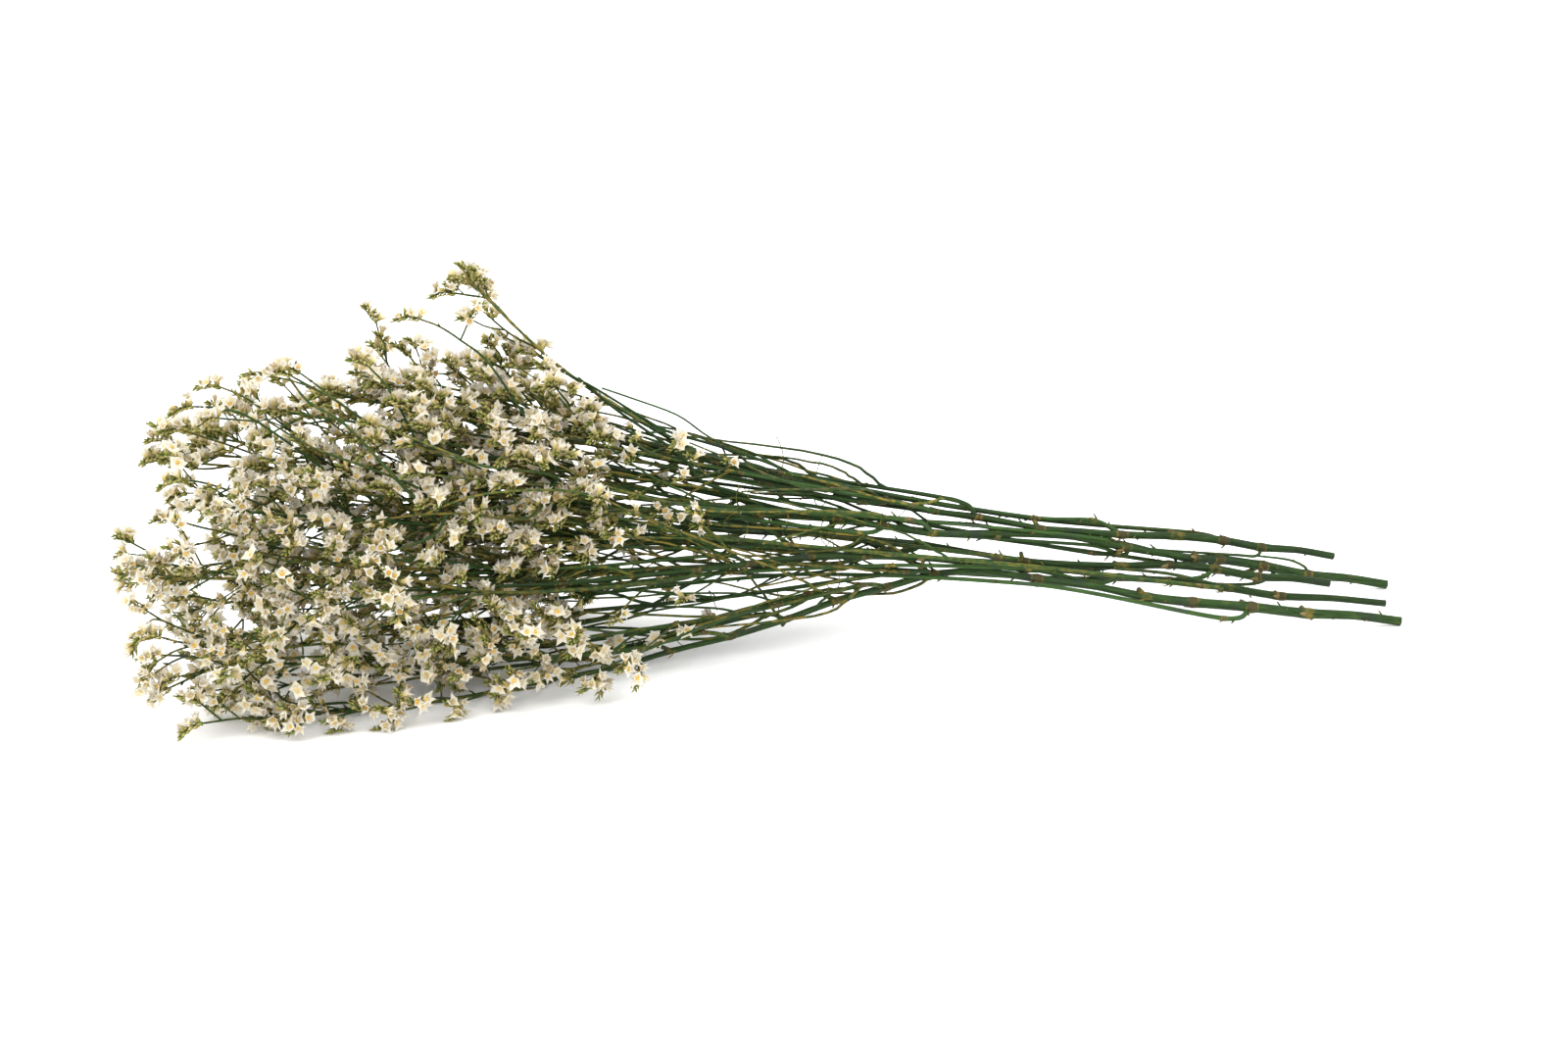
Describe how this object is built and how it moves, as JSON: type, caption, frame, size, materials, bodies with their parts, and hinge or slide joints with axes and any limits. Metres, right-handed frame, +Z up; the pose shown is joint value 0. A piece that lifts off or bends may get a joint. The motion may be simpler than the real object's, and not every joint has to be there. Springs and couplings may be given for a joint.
{
  "type": "preserved statice bunch",
  "caption": "Loose bunch of preserved white statice lying on its side: green branching stems crossing at the neck and a wide head of small papery florets.",
  "frame": {"origin": "on the table, under the middle of the bunch's box", "axes": "+Z up, +X along the bunch from the flower heads to the cut stem ends, +Y to the rear as seen in the picture"},
  "size_m": [0.6148, 0.1882, 0.1878],
  "materials": {
    "stem_green": "satin dyed stem",
    "floret_cream": "matte papery"
  },
  "bodies": {
    "root": {"spray_a_1": "floret_cream", "spray_a_2": "floret_cream", "spray_a_3": "floret_cream", "spray_a_4": "floret_cream", "spray_a_5": "floret_cream", "spray_a_6": "floret_cream", "spray_a_7": "floret_cream", "spray_a_8": "floret_cream", "spray_a_9": "floret_cream", "spray_a_tip": "floret_cream", "spray_b_1": "floret_cream", "spray_b_2": "floret_cream", "spray_b_3": "floret_cream", "spray_b_4": "floret_cream", "spray_b_5": "floret_cream", "spray_b_6": "floret_cream", "spray_b_7": "floret_cream", "spray_b_8": "floret_cream", "spray_b_9": "floret_cream", "spray_b_tip": "floret_cream", "spray_c_1": "floret_cream", "spray_c_2": "floret_cream", "spray_c_3": "floret_cream", "spray_c_4": "floret_cream", "spray_c_5": "floret_cream", "spray_c_6": "floret_cream", "spray_c_7": "floret_cream", "spray_c_8": "floret_cream", "spray_c_9": "floret_cream", "spray_c_tip": "floret_cream", "spray_d_1": "floret_cream", "spray_d_2": "floret_cream", "spray_d_3": "floret_cream", "spray_d_4": "floret_cream", "spray_d_5": "floret_cream", "spray_d_6": "floret_cream", "spray_d_7": "floret_cream", "spray_d_8": "floret_cream", "spray_d_tip": "floret_cream", "spray_e_1": "floret_cream", "spray_e_10": "floret_cream", "spray_e_2": "floret_cream", "spray_e_3": "floret_cream", "spray_e_4": "floret_cream", "spray_e_5": "floret_cream", "spray_e_6": "floret_cream", "spray_e_7": "floret_cream", "spray_e_8": "floret_cream", "spray_e_9": "floret_cream", "spray_e_tip": "floret_cream", "stalk_a": "stem_green", "stalk_b": "stem_green", "stalk_c": "stem_green", "stalk_d": "stem_green", "stalk_e": "stem_green"}
  },
  "joints": []
}
